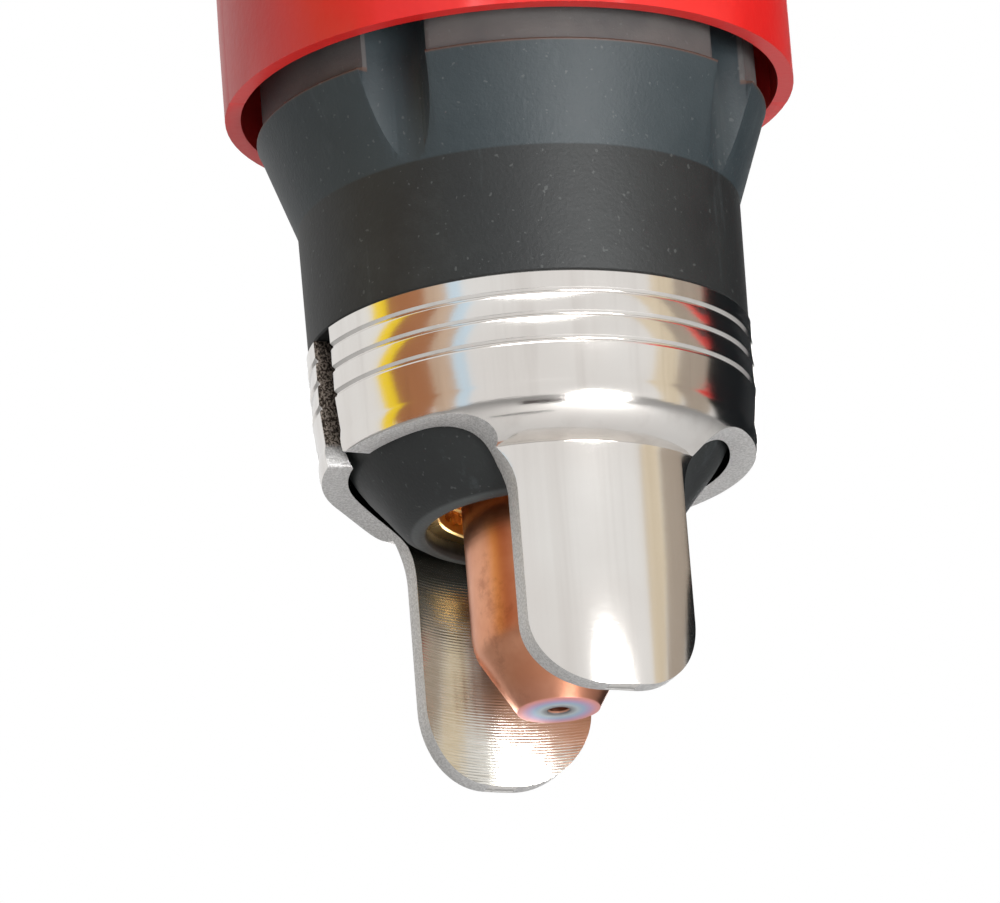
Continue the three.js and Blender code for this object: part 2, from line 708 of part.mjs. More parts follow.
function shellFittings() { // ribs, ledges and bosses that both shells have, on the +Y side
  const bodyRib = ring(bodyRibBore, 2 * neckRadius, bodyGrooveStart + gap, bodyGrooveEnd - gap);
  const collarRib = alongLead(ring(
    collarGrooveRadius + gap, 2 * neckRadius, -collarGrooveStart + gap, -collarGrooveStart + collarGrooveWidth - gap,
  ));
  const ledge = fromTrigger(box(
    [returnSpringAlong - 4, returnSpringAlong + 4], [0, 2 * neckRadius],
    [springLedgeHeight, springLedgeHeight + springLedgeThickness],
  ));
  const pivotBoss = fromTrigger(cut(
    rodAcross(pivotBossRadius, pivotAlong, pivotHeight, pivotBarrelWidth / 2 + gap, 2 * neckRadius, bossFacets),
    rodAcross(pivotPinRadius + gap, pivotAlong, pivotHeight, 0, pivotPinLength / 2 + gap, bossFacets),
  ));
  return [bodyRib, collarRib, ledge, pivotBoss].map(insideHandle);
}

const triggerSlot = () => fromTrigger(box(
  [-triggerLength / 2 - gap, triggerLength / 2 + slotRearClearance],
  [-triggerWidth / 2 - gap, triggerWidth / 2 + gap], [-2 * neckRadius, flangeTop],
));

function makeShells() {
  const shell = join(halfLoft(stations, wallAt), ...shellFittings());
  const places = screwPlaces.map(([along, above]) => gripPoint(along, above, 0));

  const pilotRoom = rodAcross(pilotHeadRadius + gap, 0, pilotScrewHeight, 0, pilotHeadTop + gap, facets);

  const switchPins = switchPinPlaces.flatMap(([x, z]) => [
    fromTrigger(rodAcross(switchPinRadius, x, z, 0, 2 * neckRadius, bossFacets)),
    fromTrigger(rodAcross(2 * switchPinRadius, x, z, switchWidth / 2 + gap, 2 * neckRadius, bossFacets)),
  ]);
  const nutBosses = places.map(([x, , z]) => rodAcross(bossRadius, x, z, 0, 2 * neckRadius, bossFacets));
  const threads = places.map(([x, , z]) => rodAcross(screwRadius + gap, x, z, -1, screwReach + gap, bossFacets));
  const right = cut(
    join(shell, ...[...nutBosses, ...switchPins].map(insideHandle)), ...threads, triggerSlot(), pilotRoom,
  );
  addPiece('right_handle_shell', right, red);

  const headBosses = places.map(([x, , z]) => insideHandle(rodAcross(bossRadius, x, z, 0, 2 * neckRadius, bossFacets)));
  const headHoles = places.flatMap(([x, , z]) => [
    rodAcross(counterboreRadius, x, z, counterboreDepth, 2 * neckRadius, bossFacets),
    rodAcross(screwRadius + gap, x, z, -1, counterboreDepth + 1, bossFacets),
  ]);
  const left = cut(join(shell, ...headBosses), ...headHoles, triggerSlot());
  addPiece('left_handle_shell', mirrored(left), red);

  places.forEach(([x, , z], i) => {
    const headLow = -counterboreDepth - gap - screwHeadHeight;
    const headHigh = -counterboreDepth - gap;
    const drive = new THREE.CylinderGeometry(1.3, 1.3, 1.6, 6).translate(x, headLow, z);
    const screw = join(
      rodAcross(screwHeadRadius, x, z, headLow, headHigh, bossFacets),
      rodAcross(screwRadius, x, z, headHigh - 0.5, screwReach, bossFacets),
    );
    addPiece(`shell_screw_${i + 1}`, cut(screw, drive), steel);
  });
}

// Trigger and switch, built along X about a centre on the grip

function makeTrigger() {
  const unit = new THREE.Group();
  unit.position.set(triggerSpine.x, 0, triggerSpine.z);
  unit.rotation.y = -triggerSpine.heading;
  torch.add(unit);

  const half = triggerLength / 2;
  const flangeLow = flangeTop - flangeThickness;
  const side = new THREE.Shape();
  side.moveTo(-half, flangeTop - 0.5);
  side.lineTo(-half, triggerBottom + 3.6);
  side.quadraticCurveTo(-half + 0.2, triggerBottom + 0.7, -half + 3, triggerBottom + 0.6);
  side.quadraticCurveTo(0, triggerBottom + 3.2, half - 4, triggerBottom);
  side.quadraticCurveTo(half - 0.4, triggerBottom + 0.3, half, triggerBottom + 3.6);
  side.lineTo(half, flangeTop - 0.5);
  const cap = new THREE.ExtrudeGeometry(side, { depth: triggerWidth, bevelEnabled: false, curveSegments: 8 })
    .translate(0, 0, -triggerWidth / 2).rotateX(Math.PI / 2);
  const flange = box([-half - flangeOverhang, half + flangeOverhang], [-flangeWidth / 2, flangeWidth / 2], [flangeLow, flangeTop]);
  const barrelHalf = pivotBarrelWidth / 2;
  const barrel = rodAcross(pivotBarrelRadius, pivotAlong, pivotHeight, -barrelHalf, barrelHalf, 16);
  const arm = box([pivotAlong, -half], [-barrelHalf, barrelHalf], [flangeLow, pivotHeight + 0.8]);
  const nub = box([buttonAlong - 1, buttonAlong + 1], [-2, 2], [flangeLow, buttonEnd - gap]);
  const spigot = rod(returnSpringRadius - returnSpringWire - gap, flangeLow, flangeTop + 1.8, 12)
    .translate(returnSpringAlong, 0, 0);
  const pinHole = rodAcross(pivotPinRadius + gap, pivotAlong, pivotHeight, -flangeWidth, flangeWidth, 12);
  addPiece('trigger', cut(join(cap, flange, barrel, arm, nub, spigot), pinHole), black, unit);

  const pin = rodAcross(pivotPinRadius, pivotAlong, pivotHeight, -pivotPinLength / 2, pivotPinLength / 2, 12);
  addPiece('trigger_pin', pin, steel, unit);
  const spring = coil(returnSpringRadius, returnSpringWire, flangeTop + gap, springLedgeHeight - gap, returnSpringTurns)
    .translate(returnSpringAlong, 0, 0);
  addPiece('trigger_spring', spring, steel, unit);

  const halfSwitch = switchWidth / 2;
  const switchEnd = switchStart + switchLength;
  const buttonBore = rod(buttonRadius + gap, switchBottom - 1, buttonBoreTop, 12).translate(buttonAlong, 0, 0);
  const pinHoles = switchPinPlaces.map(([x, z]) => (
    rodAcross(switchPinRadius + gap, x, z, -halfSwitch - 1, halfSwitch + 1, 12)));
  const body = cut(
    box([switchStart, switchEnd], [-halfSwitch, halfSwitch], [switchBottom, switchTop]), buttonBore, ...pinHoles,
  );
  addPiece('switch_body', body, black, unit);
  const button = rod(buttonRadius, buttonEnd, buttonTop, 12).translate(buttonAlong, 0, 0);
  addPiece('switch_button', button, red, unit);

  const terminalStart = switchEnd + gap;
  const terminalEnd = terminalStart + switchTerminalLength;
  switchTerminalHeights.forEach((height, i) => {
    const halfThick = switchTerminalThickness / 2;
    const terminal = box([terminalStart, terminalEnd], [-1.4, 1.4], [height - halfThick, height + halfThick]);
    addPiece(`switch_terminal_${i + 1}`, terminal, brass, unit);
    const spread = i ? -1.8 : 1.8;
    const path = smoothPath([
      [terminalEnd + gap, 0, height], [terminalEnd + 3, spread / 3, height * 0.75],
      [terminalEnd + 9, spread, -0.6], [switchPlugStart - 8, spread, 0], [switchPlugStart - gap, spread, 0],
    ]);
    addPiece(`switch_wire_${i + 1}`, tube(path, switchWireRadius, 12, wireFacets), i ? whitePlastic : black, unit);
  });
  const plug = cut(
    box([switchPlugStart, switchPlugStart + switchPlugLength], [-4, 4], [-2.6, 2.6]),
    box([switchPlugStart + 4, switchPlugStart + switchPlugLength + 1], [-3, 3], [-1.6, 1.6]),
  );
  addPiece('switch_plug', plug, whitePlastic, unit);
}

// Lead inlet

function makeInlet() {
  const grooveLow = -collarGrooveStart;
  const flangeHigh = gap + collarFlangeThickness;
  const neckHigh = flangeHigh + collarNeckLength;
  const collar = turned([
    [collarBore, -collarInnerLength], [collarInnerRadius, -collarInnerLength], [collarInnerRadius, grooveLow],
    [collarGrooveRadius, grooveLow], [collarGrooveRadius, grooveLow + collarGrooveWidth],
    [collarInnerRadius, grooveLow + collarGrooveWidth], [collarInnerRadius, gap], [collarFlangeRadius, gap],
    [collarFlangeRadius, flangeHigh], [collarNeckRadius, flangeHigh], [collarNeckRadius, neckHigh],
    [collarBore, neckHigh],
  ], fineFacets);
  addPiece('inlet_collar', alongLead(collar), black);
  const grommet = ring(grommetBore, collarBore - gap, -collarInnerLength, flangeHigh + collarNeckLength / 2);
  addPiece('inlet_grommet', alongLead(grommet), rubber);
}

makeNozzle();
makeSwirlRing();
makeElectrode();
makeCup();
makeCupInsert();
makeGuide();
makeHead();
makePlunger();
makeGasTube();
makePilotLead();
makeShells();
makeTrigger();
makeInlet();

export default torch;
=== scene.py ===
import math
import bpy
from mathutils import Matrix, Vector


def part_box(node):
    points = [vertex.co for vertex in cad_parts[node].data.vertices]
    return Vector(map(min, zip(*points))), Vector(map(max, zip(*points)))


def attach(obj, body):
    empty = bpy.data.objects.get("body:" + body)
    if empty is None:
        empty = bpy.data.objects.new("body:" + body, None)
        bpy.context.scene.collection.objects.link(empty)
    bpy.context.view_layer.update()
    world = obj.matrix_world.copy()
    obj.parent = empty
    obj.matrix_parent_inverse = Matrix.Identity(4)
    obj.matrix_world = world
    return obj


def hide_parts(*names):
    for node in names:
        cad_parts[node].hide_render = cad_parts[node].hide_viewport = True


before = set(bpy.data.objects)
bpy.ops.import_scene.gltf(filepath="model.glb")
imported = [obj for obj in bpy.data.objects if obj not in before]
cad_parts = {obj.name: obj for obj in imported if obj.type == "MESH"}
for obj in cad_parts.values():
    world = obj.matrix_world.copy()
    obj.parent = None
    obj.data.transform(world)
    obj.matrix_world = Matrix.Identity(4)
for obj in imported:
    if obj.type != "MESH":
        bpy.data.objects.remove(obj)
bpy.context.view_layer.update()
mm = 0.001
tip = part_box("nozzle")[0].z  # height of the nozzle's face; heights below are given above it, in mm
print("frame loaded", len(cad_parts), "nodes")


def leaveEditMode():
    if bpy.context.object and bpy.context.object.mode != "OBJECT":
        bpy.ops.object.mode_set(mode="OBJECT")


def clearSelection():
    leaveEditMode()
    bpy.ops.object.select_all(action="DESELECT")


def activate(piece):
    clearSelection()
    piece.select_set(True)
    bpy.context.view_layer.objects.active = piece


def pick(piece, test, kind="FACE"):  # selects in edit mode by a test on faces, edges or vertices
    activate(piece)
    bpy.ops.object.mode_set(mode="EDIT")
    bpy.ops.mesh.select_mode(type=kind)
    bpy.ops.mesh.select_all(action="DESELECT")
    bpy.ops.object.mode_set(mode="OBJECT")
    mesh = piece.data
    items = {"FACE": mesh.polygons, "EDGE": mesh.edges, "VERT": mesh.vertices}[kind]
    for item in items:
        item.select = bool(test(item))
    bpy.ops.object.mode_set(mode="EDIT")


def applyAll(piece):
    activate(piece)
    for modifier in list(piece.modifiers):
        bpy.ops.object.modifier_apply(modifier=modifier.name)


def settle(piece):  # place, turn and size go into the mesh
    activate(piece)
    bpy.ops.object.transform_apply(location=True, rotation=True, scale=True)


def tidyMesh(piece, merge=0.0005):
    activate(piece)
    bpy.ops.object.mode_set(mode="EDIT")
    bpy.ops.mesh.select_all(action="SELECT")
    bpy.ops.mesh.remove_doubles(threshold=merge * mm)
    bpy.ops.mesh.normals_make_consistent(inside=False)
    bpy.ops.object.mode_set(mode="OBJECT")


def shade(piece, angle=35):
    activate(piece)
    bpy.ops.object.shade_smooth_by_angle(angle=math.radians(angle))


def bevelEdges(piece, width, steps=2, angle=40):
    modifier = piece.modifiers.new("edges", "BEVEL")
    modifier.width = width * mm
    modifier.segments = steps
    modifier.limit_method = "ANGLE"
    modifier.angle_limit = math.radians(angle)
    modifier.harden_normals = False
    applyAll(piece)


def combine(piece, tool, how="DIFFERENCE"):
    modifier = piece.modifiers.new("combine", "BOOLEAN")
    modifier.operation = how
    modifier.solver = "EXACT"
    modifier.object = tool
    modifier.material_mode = "INDEX"
    applyAll(piece)
    bpy.data.objects.remove(tool, do_unlink=True)


def arc(centreRadius, centreHeight, radius, start, end, steps):  # degrees; points of an outline
    turns = [math.radians(start + (end - start) * i / steps) for i in range(steps + 1)]
    return [(centreRadius + radius * math.cos(t), centreHeight + radius * math.sin(t)) for t in turns]


def turnPiece(name, outline, sides=160, low=None):  # a closed outline of radius and height, turned about Z
    base = tip if low is None else low
    clearSelection()
    radius, height = outline[0]
    bpy.ops.mesh.primitive_circle_add(vertices=sides, radius=radius * mm, location=(0, 0, base + height * mm))
    piece = bpy.context.object
    piece.name = name
    settle(piece)
    bpy.ops.object.mode_set(mode="EDIT")
    bpy.ops.mesh.select_all(action="SELECT")
    for (fromRadius, fromHeight), (toRadius, toHeight) in zip(outline, outline[1:]):
        step = (0, 0, (toHeight - fromHeight) * mm)
        bpy.ops.mesh.extrude_region_move(TRANSFORM_OT_translate={"value": step})
        share = toRadius / fromRadius
        bpy.ops.transform.resize(value=(share, share, 1), center_override=(0, 0, base + toHeight * mm))
    bpy.ops.mesh.select_mode(type="EDGE")
    bpy.ops.mesh.select_all(action="DESELECT")
    bpy.ops.mesh.select_non_manifold()
    bpy.ops.mesh.bridge_edge_loops()
    bpy.ops.object.mode_set(mode="OBJECT")
    tidyMesh(piece)
    return piece


def addBox(name, low, high):  # corners in mm, about the frame's own origin
    clearSelection()
    middle = [(a + b) / 2 * mm for a, b in zip(low, high)]
    bpy.ops.mesh.primitive_cube_add(size=1, location=middle)
    piece = bpy.context.object
    piece.name = name
    piece.scale = [(b - a) * mm for a, b in zip(low, high)]
    settle(piece)
    return piece


def addRod(name, radius, start, end, sides=48):  # start and end are points in metres
    clearSelection()
    axis = Vector(end) - Vector(start)
    turn = axis.to_track_quat("Z", "Y").to_euler()
    middle = (Vector(start) + Vector(end)) / 2
    bpy.ops.mesh.primitive_cylinder_add(
        vertices=sides, radius=radius * mm, depth=axis.length, location=middle, rotation=turn)
    piece = bpy.context.object
    piece.name = name
    settle(piece)
    return piece


def turnAbout(piece, degrees, axis="Z", centre=(0, 0, 0)):
    piece.data.transform(Matrix.Translation(Vector(centre)) @ Matrix.Rotation(math.radians(degrees), 4, axis)
                         @ Matrix.Translation(-Vector(centre)))


def finishPiece(piece, body, nodes, materials):
    piece.data.materials.clear()
    for material in materials:
        piece.data.materials.append(material)
    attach(piece, body)
    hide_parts(*nodes)


class Wire:  # one output socket that can be reckoned with
    def __init__(self, paint, socket):
        self.paint = paint
        self.socket = socket

    def reckon(self, operation, *values):
        names = {i: value for i, value in enumerate(values)}
        return self.paint.node("ShaderNodeMath", {"operation": operation}, names)

    def __add__(self, other):
        return self.reckon("ADD", self, other)

    def __radd__(self, other):
        return self.reckon("ADD", other, self)

    def __sub__(self, other):
        return self.reckon("SUBTRACT", self, other)

    def __rsub__(self, other):
        return self.reckon("SUBTRACT", other, self)

    def __mul__(self, other):
        return self.reckon("MULTIPLY", self, other)

    def __rmul__(self, other):
        return self.reckon("MULTIPLY", other, self)

    def __truediv__(self, other):
        return self.reckon("DIVIDE", self, other)

    def __pow__(self, other):
        return self.reckon("POWER", self, other)

    def __abs__(self):
        return self.reckon("ABSOLUTE", self)

    def sine(self):
        return self.reckon("SINE", self)


    def rise(self, low, high):  # 0 below low, 1 above high, smooth between
        settings = {"interpolation_type": "SMOOTHSTEP"}
        values = {"Value": self, "From Min": low, "From Max": high, "To Min": 0.0, "To Max": 1.0}
        return self.paint.node("ShaderNodeMapRange", settings, values)

    def band(self, middle, halfWidth, soft):  # 1 near middle, 0 away from it
        return 1 - abs(self - middle).rise(halfWidth, halfWidth + soft)


class Paint:  # a procedural material being made
    def __init__(self, name):
        self.material = bpy.data.materials.new(name)
        self.material.use_nodes = True
        self.tree = self.material.node_tree
        self.tree.nodes.clear()
        self.place = self.node("ShaderNodeTexCoord", {}, {}, "Object")

    def node(self, kind, settings=None, values=None, out=0):
        node = self.tree.nodes.new(kind)
        for key, value in (settings or {}).items():
            if key == "stops":
                self.setStops(node.color_ramp, value)
            else:
                setattr(node, key, value)
        for key, value in (values or {}).items():
            self.feed(node.inputs[key], value)
        return Wire(self, node.outputs[out])

    def setStops(self, ramp, stops):
        while len(ramp.elements) < len(stops):
            ramp.elements.new(0.5)
        for element, (at, colour) in zip(ramp.elements, stops):
            element.position = at
            element.color = (*colour, 1)

    def feed(self, socket, value):
        if isinstance(value, Wire):
            self.tree.links.new(value.socket, socket)
        elif isinstance(value, (tuple, list)) and len(value) == 3 and socket.type == "RGBA":
            socket.default_value = (*value, 1)
        else:
            socket.default_value = value

    def axes(self):
        split = self.node("ShaderNodeSeparateXYZ", {}, {"Vector": self.place})
        outputs = split.socket.node.outputs
        return [Wire(self, outputs[i]) for i in range(3)]

    def stretched(self, size):  # place, with each axis scaled
        return self.node("ShaderNodeVectorMath", {"operation": "MULTIPLY"}, {0: self.place, 1: size})

    def noise(self, scale, detail=3.0, rough=0.55, where=None):
        values = {"Vector": where or self.place, "Scale": scale, "Detail": detail, "Roughness": rough}
        return self.node("ShaderNodeTexNoise", {}, values, "Fac")

    def mix(self, share, first, second):
        values = {"Factor": share, "A": first, "B": second}
        node = self.tree.nodes.new("ShaderNodeMix")
        node.data_type = "RGBA"
        for key, value in values.items():
            socket = [s for s in node.inputs if s.name == key and (s.type == "RGBA" or key == "Factor")][0]
            self.feed(socket, value)
        return Wire(self, [s for s in node.outputs if s.type == "RGBA"][0])

    def surface(self, colour, rough, metal=0.0, height=None, lift=0.0001, **fixed):
        node = self.tree.nodes.new("ShaderNodeBsdfPrincipled")
        self.feed(node.inputs["Base Color"], colour)
        self.feed(node.inputs["Roughness"], rough)
        self.feed(node.inputs["Metallic"], metal)
        for key, value in fixed.items():
            self.feed(node.inputs[key.replace("_", " ")], value)
        if height is not None:
            values = {"Height": height, "Distance": lift, "Strength": 1.0}
            self.feed(node.inputs["Normal"], self.node("ShaderNodeBump", {}, values))
        output = self.tree.nodes.new("ShaderNodeOutputMaterial")
        self.tree.links.new(node.outputs[0], output.inputs[0])
        return self.material


def redPlastic():
    paint = Paint("redPlastic")
    cloud = paint.noise(60.0)
    grain = paint.noise(2600.0, 2.0)
    drag = paint.noise(900.0, 3.0, 0.6, paint.stretched((1, 1, 0.06)))
    colour = paint.mix(cloud.rise(0.3, 0.7), (0.60, 0.010, 0.009), (0.68, 0.016, 0.012))
    rough = 0.30 + 0.14 * cloud + 0.06 * grain
    height = 0.5 * grain + 0.35 * drag
    return paint.surface(colour, rough, 0.0, height, 0.00003, Specular_IOR_Level=0.5, Coat_Weight=0.12,
                         Coat_Roughness=0.25)


def cupPlastic():
    paint = Paint("cupPlastic")
    x, y, z = paint.axes()
    height = (z - tip) * 1000.0
    cloud = paint.noise(180.0, 4.0)
    grain = paint.noise(5200.0, 2.0)
    speck = paint.noise(3300.0, 1.0).rise(0.70, 0.76)
    scuff = paint.noise(420.0, 5.0, 0.7, paint.stretched((1, 1, 0.12))).rise(0.58, 0.72)
    dust = paint.noise(95.0, 6.0, 0.7).rise(0.52, 0.75)
    far = (x * x + y * y) ** 0.5 * 1000.0
    outside = far.rise(12.25, 12.35)  # the flutes are left out
    band = height.rise(30.95, 31.1) * outside  # the moulding above the flare is greyer
    # painted shade and light: the skirt below the flare is painted darker as shade, and the flared cone above it
    # lighter and bluer as light, for how the cone faces down towards the low lamps
    shadedSkirt = paint.mix(cloud.rise(0.3, 0.7), (0.0085, 0.0100, 0.0105), (0.0125, 0.0150, 0.0150))
    flare = paint.mix(cloud.rise(0.3, 0.7), (0.019, 0.029, 0.034), (0.027, 0.038, 0.043))
    base = paint.mix(height.rise(25.95, 26.1), shadedSkirt, flare)
    worn = paint.mix(scuff * 0.30, base, (0.060, 0.074, 0.078))
    dusty = paint.mix(dust * 0.12, worn, (0.11, 0.12, 0.115))
    grey = paint.mix(cloud.rise(0.35, 0.65), (0.070, 0.066, 0.066), (0.105, 0.096, 0.092))
    upper = paint.mix(band, dusty, grey)
    edge = height.band(31.02, 0.06, 0.10) * outside
    lined = paint.mix(edge * 0.75, upper, (0.10, 0.050, 0.034))
    lip = (1 - far.rise(6.55, 6.75)) * (1 - height.rise(9.75, 9.95))
    edged = paint.mix(lip * 0.6, lined, (0.10, 0.11, 0.11))
    colour = paint.mix(speck * 0.25, edged, (0.16, 0.17, 0.165))
    rough = 0.44 + 0.16 * cloud + 0.05 * grain
    relief = 0.55 * grain + 0.45 * paint.noise(1400.0, 3.0)
    return paint.surface(colour, rough, 0.0, relief, 0.00003)


def radialOf(paint):
    x, y, z = paint.axes()
    return (x * x + y * y) ** 0.5, x, y, z


def platedMetal():
    paint = Paint("platedMetal")
    cloud = paint.noise(90.0, 3.0)
    fine = paint.noise(1500.0, 3.0, 0.6, paint.stretched((1, 1, 7.0)))
    streak = paint.noise(700.0, 3.0, 0.6, paint.stretched((1, 1, 0.03)))
    warm = paint.mix(cloud.rise(0.3, 0.7), (0.80, 0.76, 0.72), (0.86, 0.835, 0.80))
    colour = paint.mix(streak.rise(0.45, 0.75) * 0.35, warm, (0.62, 0.57, 0.53))
    rough = 0.10 + 0.04 * cloud + 0.05 * fine
    return paint.surface(colour, rough, 1.0, fine, 0.000003)


def turnedMetal():
    paint = Paint("turnedMetal")
    radius, x, y, z = radialOf(paint)
    wander = paint.noise(30.0, 1.0)
    rings = ((z * 42000.0 + wander * 3.0).sine() * 0.5 + 0.5)
    fine = paint.noise(2200.0, 2.0, 0.5, paint.stretched((0.3, 0.3, 9.0)))
    colour = paint.mix(fine.rise(0.3, 0.7), (0.70, 0.66, 0.58), (0.82, 0.80, 0.75))
    rough = 0.13 + 0.08 * fine
    return paint.surface(colour, rough, 1.0, 0.6 * rings + 0.4 * fine, 0.000006)


def cutMetal():
    paint = Paint("cutMetal")
    x, y, z = paint.axes()
    height = (z - tip) * 1000.0
    grit = paint.noise(9000.0, 2.0, 0.7)
    coarse = paint.noise(4200.0, 3.0, 0.8)
    sawn = height.rise(13.6, 14.0)
    light = paint.mix(grit.rise(0.35, 0.65), (0.52, 0.51, 0.50), (0.74, 0.73, 0.72))
    dark = paint.mix(grit.rise(0.44, 0.60), (0.045, 0.033, 0.025), (0.46, 0.39, 0.33))
    colour = paint.mix(sawn, light, dark)
    return paint.surface(colour, 0.42 + 0.2 * coarse, 0.85, grit + coarse, 0.00004)


def copperMetal():
    paint = Paint("copperMetal")
    radius, x, y, z = radialOf(paint)
    height = (z - tip) * 1000.0
    far = radius * 1000.0
    cloud = paint.noise(220.0, 4.0, 0.6)
    drawn = paint.noise(1500.0, 3.0, 0.6, paint.stretched((0.4, 0.4, 6.0)))
    base = paint.mix(cloud.rise(0.3, 0.72), (0.66, 0.27, 0.15), (0.84, 0.42, 0.26))
    tarnish = paint.mix(paint.noise(420.0, 5.0, 0.7).rise(0.52, 0.72) * 0.5, base, (0.36, 0.13, 0.07))
    # heat tint colours across the nozzle's face by radius; the near-black stops at the orifice's edge are painted
    # shade of the crater
    heatTintAndShade = paint.node("ShaderNodeValToRGB", {"stops": [
        (0.0, (0.02, 0.02, 0.02)), (0.20, (0.05, 0.045, 0.045)), (0.30, (0.30, 0.30, 0.31)),
        (0.42, (0.55, 0.62, 0.66)), (0.55, (0.42, 0.55, 0.70)), (0.70, (0.62, 0.42, 0.62)),
        (0.84, (0.85, 0.40, 0.42)), (1.0, (0.85, 0.36, 0.22)),
    ]}, {"Fac": far / 2.25 + 0.05 * (cloud - 0.5)}, "Color")
    face = 1 - height.rise(0.03, 0.10)
    heated = paint.mix((1 - height.rise(0.0, 1.5)) * 0.25, tarnish, (0.62, 0.30, 0.25))
    colour = paint.mix(face, heated, heatTintAndShade)
    rough = 0.26 + 0.14 * cloud + 0.12 * face
    return paint.surface(colour, rough, 1.0 - 0.25 * face, drawn, 0.000006)


def brassMetal(name="brassMetal"):
    paint = Paint(name)
    cloud = paint.noise(300.0, 3.0)
    drawn = paint.noise(1800.0, 3.0, 0.6, paint.stretched((0.4, 0.4, 6.0)))
    colour = paint.mix(cloud.rise(0.3, 0.7), (0.72, 0.44, 0.14), (0.88, 0.60, 0.24))
    return paint.surface(colour, 0.2 + 0.14 * cloud, 1.0, drawn, 0.00002)


def steelMetal():
    paint = Paint("steelMetal")
    cloud = paint.noise(400.0, 3.0)
    fine = paint.noise(2600.0, 2.0)
    colour = paint.mix(cloud.rise(0.3, 0.7), (0.42, 0.42, 0.40), (0.62, 0.61, 0.57))
    return paint.surface(colour, 0.24 + 0.2 * cloud, 1.0, fine, 0.00002)


def plainPlastic(name, dark, light, rough=0.45, scale=1800.0, lift=0.00004):
    paint = Paint(name)
    cloud = paint.noise(120.0, 3.0)
    grain = paint.noise(scale, 3.0)
    colour = paint.mix(cloud.rise(0.3, 0.7), dark, light)
    return paint.surface(colour, rough + 0.12 * cloud, 0.0, grain, lift)


red = redPlastic()
cupBlack = cupPlastic()
plated = platedMetal()
turnedInside = turnedMetal()
cutEdge = cutMetal()
copper = copperMetal()
brass = brassMetal()
steel = steelMetal()
black = plainPlastic("blackPlastic", (0.016, 0.017, 0.018), (0.028, 0.029, 0.031), 0.42)
rubber = plainPlastic("blackRubber", (0.014, 0.014, 0.014), (0.024, 0.024, 0.024), 0.68)
brown = plainPlastic("brownPolyimide", (0.16, 0.07, 0.035), (0.24, 0.11, 0.055), 0.5)
white = plainPlastic("whitePtfe", (0.66, 0.64, 0.58), (0.76, 0.74, 0.68), 0.45)
wireRed = plainPlastic("redInsulation", (0.45, 0.02, 0.015), (0.55, 0.03, 0.02), 0.4)
wireBlack = plainPlastic("blackInsulation", (0.02, 0.02, 0.02), (0.03, 0.03, 0.03), 0.4)
print("materials made")


nozzleSizes = dict(orifice=0.5, face=2.12, nose=3.86, noseHeight=3.05, barrel=4.05, flange=5.8,
                   flangeLow=12.8, flangeHigh=15.0, chamber=3.1, chamberFloor=3.9, orificeTop=2.2)


def makeNozzle():
    s = nozzleSizes
    outline = [
        (s["orifice"], 0.12), (s["orifice"] + 0.1, 0.0), (s["face"] - 0.12, 0.0), (s["face"] - 0.03, 0.03),
        (s["face"], 0.10), (s["nose"] - 0.09, s["noseHeight"] - 0.17),
        (s["nose"] + 0.02, s["noseHeight"] + 0.09),
        (s["nose"] + 0.11, s["noseHeight"] + 0.37), (s["barrel"] - 0.03, s["noseHeight"] + 0.7),
        (s["barrel"], s["noseHeight"] + 1.0), (s["barrel"], 8.0), (s["barrel"], s["flangeLow"]),
        (s["flange"], s["flangeLow"]), (s["flange"], s["flangeHigh"]), (s["chamber"], s["flangeHigh"]),
        (s["chamber"], s["chamberFloor"]), (s["orifice"], s["orificeTop"]),
    ]
    piece = turnPiece("nozzleBody", outline, 144)
    shade(piece, 30)
    finishPiece(piece, "front_end", ["nozzle"], [copper])


cupSizes = dict(lipBore=5.95, lip=9.55, seat=9.95, shoulder=19.42, low=11.12, high=11.2,
                flareLow=26.05, flare=12.93, flareHigh=31.02, band=12.55, top=36.0, upperBore=10.6, insertRoom=8.8, noseRoom=6.8)
fluteSizes = dict(count=4, cutter=1.95, orbit=13.15, low=25.6, turn=-39.5)


def makeCup():
    s = cupSizes
    outline = [
        (s["lipBore"], 10.5), (s["lipBore"], s["lip"] + 0.16), (s["lipBore"] + 0.06, s["lip"] + 0.05),
        (s["lipBore"] + 0.16, s["lip"]), (6.30, s["lip"] + 0.01), (6.52, s["lip"] + 0.10), (7.2, 10.1),
        (8.0, 11.15), (8.85, 12.2), (9.3, 12.85), (9.62, 13.45), (9.82, 14.1), (s["seat"], 15.0),
        (s["seat"], s["shoulder"]), (s["low"] - 0.08, s["shoulder"]), (s["low"], s["shoulder"] + 0.08),
        (s["high"], s["flareLow"] - 0.05), (s["high"] + 0.015, s["flareLow"] + 0.03),
        (s["flare"] - 0.07, s["flareHigh"] - 0.2), (s["flare"], s["flareHigh"] - 0.06),
        (s["flare"] - 0.03, s["flareHigh"] + 0.01), (s["flare"] - 0.12, s["flareHigh"] + 0.03),
        (s["band"] + 0.05, s["flareHigh"] + 0.05), (s["band"], s["flareHigh"] + 0.12), (s["band"], s["top"]),
        (s["upperBore"], s["top"]), (s["upperBore"], 27.3), (s["insertRoom"], 27.3), (s["insertRoom"], 13.2),
        (s["noseRoom"], 13.2), (s["noseRoom"], 10.5),
    ]
    piece = turnPiece("retainingCup", outline, 192)
    f = fluteSizes
    for i in range(f["count"]):
        clearSelection()
        angle = math.radians(f["turn"] + 360 / f["count"] * i - 90)
        centre = (f["orbit"] * mm * math.cos(angle), f["orbit"] * mm * math.sin(angle),
                  tip + (f["low"] + f["cutter"]) * mm)
        foot = Vector(centre) - Vector((0, 0, f["cutter"] * mm))
        combine(piece, addRod("fluteCutter", f["cutter"], foot, foot + Vector((0, 0, 14 * mm)), 72))
    bevelEdges(piece, 0.07, 2, 38)
    shade(piece, 32)
    finishPiece(piece, "cup", ["retaining_cup"], [cupBlack])


